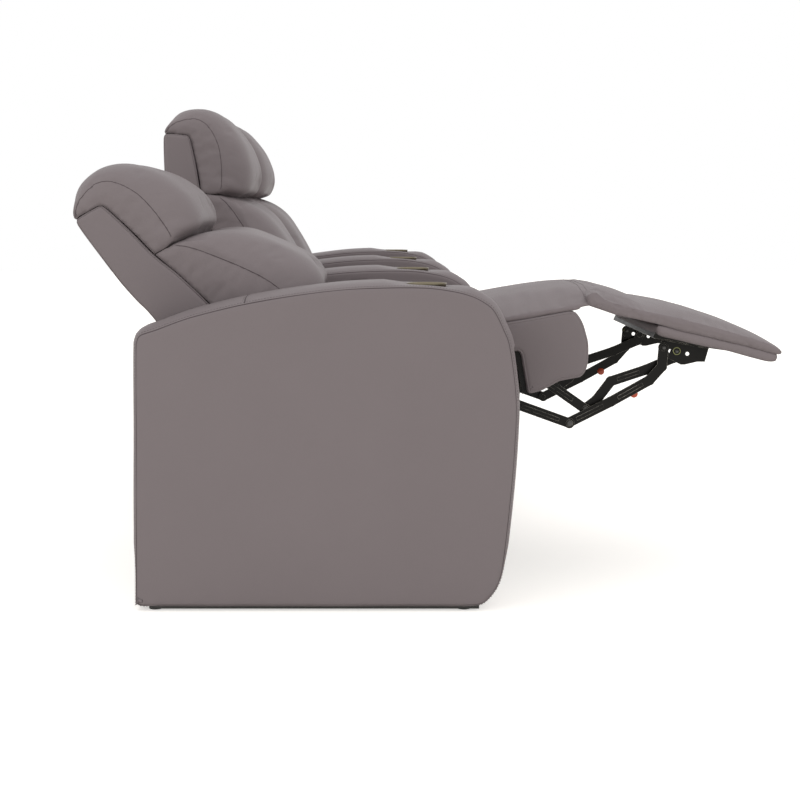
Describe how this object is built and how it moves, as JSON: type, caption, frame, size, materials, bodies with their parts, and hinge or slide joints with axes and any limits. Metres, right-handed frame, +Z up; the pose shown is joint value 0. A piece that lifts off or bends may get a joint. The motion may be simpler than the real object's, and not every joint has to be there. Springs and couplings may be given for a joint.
{
  "type": "home cinema recliner seat row",
  "caption": "Powered home cinema recliner seats in a straight row with shared cup holder arms, sliding tilting seats, reclining backs and swing-out footrests on steel links.",
  "frame": {"origin": "on the floor, in the middle of the row's rest box", "axes": "+X forward, the way a sitter faces; +Y along the row; +Z up"},
  "size_m": [1.4767, 2.44, 1.054],
  "materials": {
    "arm_leather": "semi matt leather, padded",
    "cushion_leather": "semi matt leather over foam",
    "panel_leather": "semi matt leather",
    "shell_leather": "semi matt leather",
    "cup_metal": "brushed, warm tint",
    "foot_black": "matt black",
    "switch_black": "satin black",
    "bolt_zinc": "zinc plated",
    "actuator_black": "satin black",
    "frame_steel": "satin black paint"
  },
  "bodies": {
    "root": {"arm_1": "arm_leather", "arm_2": "arm_leather", "arm_3": "arm_leather", "arm_4": "arm_leather", "cup_holders": "cup_metal", "arm_feet": "foot_black", "switch_bezels": "switch_black", "frame_bolts": "bolt_zinc", "power_inlets": "switch_black", "base_frame_1": "frame_steel", "base_frame_2": "frame_steel", "base_frame_3": "frame_steel", "actuator_1": "actuator_black", "actuator_2": "actuator_black", "actuator_3": "actuator_black"},
    "rocker_1": {"switch_rocker_1": "switch_black"},
    "slide_1": {"carriage_1": "frame_steel"},
    "lift_1": {"lift_link_1": "frame_steel"},
    "seat_1": {"side_plates_1": "frame_steel", "seat_box_1": "panel_leather", "seat_cushion_1": "cushion_leather"},
    "back_1": {"back_shell_1": "shell_leather", "headrest_1": "cushion_leather", "lumbar_cushion_1": "cushion_leather"},
    "link_a_1_body": {"link_a_1": "frame_steel"},
    "link_b_1_body": {"link_b_1": "frame_steel"},
    "link_c_1_body": {"link_c_1": "frame_steel"},
    "link_d_1_body": {"link_d_1": "frame_steel"},
    "foot_1": {"footrest_board_1": "frame_steel", "footrest_pad_1": "cushion_leather"},
    "rocker_2": {"switch_rocker_2": "switch_black"},
    "slide_2": {"carriage_2": "frame_steel"},
    "lift_2": {"lift_link_2": "frame_steel"},
    "seat_2": {"side_plates_2": "frame_steel", "seat_box_2": "panel_leather", "seat_cushion_2": "cushion_leather"},
    "back_2": {"back_shell_2": "shell_leather", "headrest_2": "cushion_leather", "lumbar_cushion_2": "cushion_leather"},
    "link_a_2_body": {"link_a_2": "frame_steel"},
    "link_b_2_body": {"link_b_2": "frame_steel"},
    "link_c_2_body": {"link_c_2": "frame_steel"},
    "link_d_2_body": {"link_d_2": "frame_steel"},
    "foot_2": {"footrest_board_2": "frame_steel", "footrest_pad_2": "cushion_leather"},
    "rocker_3": {"switch_rocker_3": "switch_black"},
    "slide_3": {"carriage_3": "frame_steel"},
    "lift_3": {"lift_link_3": "frame_steel"},
    "seat_3": {"side_plates_3": "frame_steel", "seat_box_3": "panel_leather", "seat_cushion_3": "cushion_leather"},
    "back_3": {"back_shell_3": "shell_leather", "headrest_3": "cushion_leather", "lumbar_cushion_3": "cushion_leather"},
    "link_a_3_body": {"link_a_3": "frame_steel"},
    "link_b_3_body": {"link_b_3": "frame_steel"},
    "link_c_3_body": {"link_c_3": "frame_steel"},
    "link_d_3_body": {"link_d_3": "frame_steel"},
    "foot_3": {"footrest_board_3": "frame_steel", "footrest_pad_3": "cushion_leather"}
  },
  "joints": [
    {"name": "seat_slide_1", "type": "slide", "parent": "root", "child": "slide_1", "axis": [1, 0, 0], "range_m": [-0.226, 0]},
    {"name": "switch_rocker_1", "type": "hinge", "parent": "root", "child": "rocker_1", "pos_m": [-0.139, -0.4616, 0.594], "axis": [0, 0, 1], "range_deg": [-6, 6], "stiffness_Nm_per_rad": 0.4},
    {"name": "lift_1", "type": "hinge", "parent": "slide_1", "child": "lift_1", "pos_m": [0.103, -0.75, 0.2833], "axis": [0, -1, 0], "range_deg": [-50.05, 0.05]},
    {"name": "seat_tilt_1", "type": "hinge", "parent": "slide_1", "child": "seat_1", "pos_m": [-0.204, -0.75, 0.3], "axis": [0, -1, 0], "range_deg": [-10.05, 0.05]},
    {"name": "back_recline_1", "type": "hinge", "parent": "seat_1", "child": "back_1", "pos_m": [-0.24509, -0.75, 0.38617], "axis": [0, -1, 0], "range_deg": [-24.95, 0.05]},
    {"name": "link_a_swing_1", "type": "hinge", "parent": "seat_1", "child": "link_a_1_body", "pos_m": [0.18749, -0.75, 0.38325], "axis": [0, -1, 0], "range_deg": [-76.05, 0.05]},
    {"name": "link_b_swing_1", "type": "hinge", "parent": "seat_1", "child": "link_b_1_body", "pos_m": [0.1904, -0.75, 0.47616], "axis": [0, -1, 0], "range_deg": [-64.93, 0.05]},
    {"name": "link_c_swing_1", "type": "hinge", "parent": "link_a_1_body", "child": "link_c_1_body", "pos_m": [0.30981, -0.75, 0.33922], "axis": [0, -1, 0], "range_deg": [-0.05, 88.28]},
    {"name": "link_d_swing_1", "type": "hinge", "parent": "link_b_1_body", "child": "link_d_1_body", "pos_m": [0.34602, -0.75, 0.36716], "axis": [0, -1, 0], "range_deg": [-0.05, 68.19]},
    {"name": "footrest_swing_1", "type": "hinge", "parent": "seat_1", "child": "foot_1", "pos_m": [0.38404, -0.75, 0.62535], "axis": [0, -1, 0], "range_deg": [-60.55, 0.05]},
    {"name": "seat_slide_2", "type": "slide", "parent": "root", "child": "slide_2", "axis": [1, 0, 0], "range_m": [0, 0.226]},
    {"name": "switch_rocker_2", "type": "hinge", "parent": "root", "child": "rocker_2", "pos_m": [-0.139, 0.2884, 0.594], "axis": [0, 0, 1], "range_deg": [-6, 6], "stiffness_Nm_per_rad": 0.4},
    {"name": "lift_2", "type": "hinge", "parent": "slide_2", "child": "lift_2", "pos_m": [-0.123, 0, 0.2833], "axis": [0, -1, 0], "range_deg": [-0.05, 50.05]},
    {"name": "seat_tilt_2", "type": "hinge", "parent": "slide_2", "child": "seat_2", "pos_m": [-0.43, 0, 0.3], "axis": [0, -1, 0], "range_deg": [-0.05, 10.05]},
    {"name": "back_recline_2", "type": "hinge", "parent": "seat_2", "child": "back_2", "pos_m": [-0.4555, 0, 0.392], "axis": [0, -1, 0], "range_deg": [-0.05, 24.95]},
    {"name": "link_a_swing_2", "type": "hinge", "parent": "seat_2", "child": "link_a_2_body", "pos_m": [-0.03, 0, 0.314], "axis": [0, -1, 0], "range_deg": [-0.05, 76.05]},
    {"name": "link_b_swing_2", "type": "hinge", "parent": "seat_2", "child": "link_b_2_body", "pos_m": [-0.011, 0, 0.405], "axis": [0, -1, 0], "range_deg": [-0.05, 64.93]},
    {"name": "link_c_swing_2", "type": "hinge", "parent": "link_a_2_body", "child": "link_c_2_body", "pos_m": [-0.06538, 0, 0.18891], "axis": [0, -1, 0], "range_deg": [-88.28, 0.05]},
    {"name": "link_d_swing_2", "type": "hinge", "parent": "link_b_2_body", "child": "link_d_2_body", "pos_m": [-0.07565, 0, 0.22634], "axis": [0, -1, 0], "range_deg": [-68.19, 0.05]},
    {"name": "footrest_swing_2", "type": "hinge", "parent": "seat_2", "child": "foot_2", "pos_m": [0.2056, 0, 0.5183], "axis": [0, -1, 0], "range_deg": [-0.05, 60.55]},
    {"name": "seat_slide_3", "type": "slide", "parent": "root", "child": "slide_3", "axis": [1, 0, 0], "range_m": [0, 0.226]},
    {"name": "switch_rocker_3", "type": "hinge", "parent": "root", "child": "rocker_3", "pos_m": [-0.139, 1.0384, 0.594], "axis": [0, 0, 1], "range_deg": [-6, 6], "stiffness_Nm_per_rad": 0.4},
    {"name": "lift_3", "type": "hinge", "parent": "slide_3", "child": "lift_3", "pos_m": [-0.123, 0.75, 0.2833], "axis": [0, -1, 0], "range_deg": [-0.05, 50.05]},
    {"name": "seat_tilt_3", "type": "hinge", "parent": "slide_3", "child": "seat_3", "pos_m": [-0.43, 0.75, 0.3], "axis": [0, -1, 0], "range_deg": [-0.05, 10.05]},
    {"name": "back_recline_3", "type": "hinge", "parent": "seat_3", "child": "back_3", "pos_m": [-0.4555, 0.75, 0.392], "axis": [0, -1, 0], "range_deg": [-0.05, 24.95]},
    {"name": "link_a_swing_3", "type": "hinge", "parent": "seat_3", "child": "link_a_3_body", "pos_m": [-0.03, 0.75, 0.314], "axis": [0, -1, 0], "range_deg": [-0.05, 76.05]},
    {"name": "link_b_swing_3", "type": "hinge", "parent": "seat_3", "child": "link_b_3_body", "pos_m": [-0.011, 0.75, 0.405], "axis": [0, -1, 0], "range_deg": [-0.05, 64.93]},
    {"name": "link_c_swing_3", "type": "hinge", "parent": "link_a_3_body", "child": "link_c_3_body", "pos_m": [-0.06538, 0.75, 0.18891], "axis": [0, -1, 0], "range_deg": [-88.28, 0.05]},
    {"name": "link_d_swing_3", "type": "hinge", "parent": "link_b_3_body", "child": "link_d_3_body", "pos_m": [-0.07565, 0.75, 0.22634], "axis": [0, -1, 0], "range_deg": [-68.19, 0.05]},
    {"name": "footrest_swing_3", "type": "hinge", "parent": "seat_3", "child": "foot_3", "pos_m": [0.2056, 0.75, 0.5183], "axis": [0, -1, 0], "range_deg": [-0.05, 60.55]}
  ],
  "couplings": [
    {"joint": "lift_1", "follows": "seat_slide_1", "rad_per_m": 3.8613},
    {"joint": "seat_tilt_1", "follows": "seat_slide_1", "rad_per_m": 0.77227},
    {"joint": "back_recline_1", "follows": "seat_slide_1", "rad_per_m": 1.923},
    {"joint": "link_a_swing_1", "follows": "seat_slide_1", "rad_per_m": 5.8691},
    {"joint": "link_b_swing_1", "follows": "seat_slide_1", "rad_per_m": 5.0108},
    {"joint": "link_c_swing_1", "follows": "seat_slide_1", "rad_per_m": -6.8135},
    {"joint": "link_d_swing_1", "follows": "seat_slide_1", "rad_per_m": -5.2619},
    {"joint": "footrest_swing_1", "follows": "seat_slide_1", "rad_per_m": 4.6722},
    {"joint": "lift_2", "follows": "seat_slide_2", "rad_per_m": 3.8613},
    {"joint": "seat_tilt_2", "follows": "seat_slide_2", "rad_per_m": 0.77227},
    {"joint": "back_recline_2", "follows": "seat_slide_2", "rad_per_m": 1.923},
    {"joint": "link_a_swing_2", "follows": "seat_slide_2", "rad_per_m": 5.8691},
    {"joint": "link_b_swing_2", "follows": "seat_slide_2", "rad_per_m": 5.0108},
    {"joint": "link_c_swing_2", "follows": "seat_slide_2", "rad_per_m": -6.8135},
    {"joint": "link_d_swing_2", "follows": "seat_slide_2", "rad_per_m": -5.2619},
    {"joint": "footrest_swing_2", "follows": "seat_slide_2", "rad_per_m": 4.6722},
    {"joint": "lift_3", "follows": "seat_slide_3", "rad_per_m": 3.8613},
    {"joint": "seat_tilt_3", "follows": "seat_slide_3", "rad_per_m": 0.77227},
    {"joint": "back_recline_3", "follows": "seat_slide_3", "rad_per_m": 1.923},
    {"joint": "link_a_swing_3", "follows": "seat_slide_3", "rad_per_m": 5.8691},
    {"joint": "link_b_swing_3", "follows": "seat_slide_3", "rad_per_m": 5.0108},
    {"joint": "link_c_swing_3", "follows": "seat_slide_3", "rad_per_m": -6.8135},
    {"joint": "link_d_swing_3", "follows": "seat_slide_3", "rad_per_m": -5.2619},
    {"joint": "footrest_swing_3", "follows": "seat_slide_3", "rad_per_m": 4.6722}
  ]
}
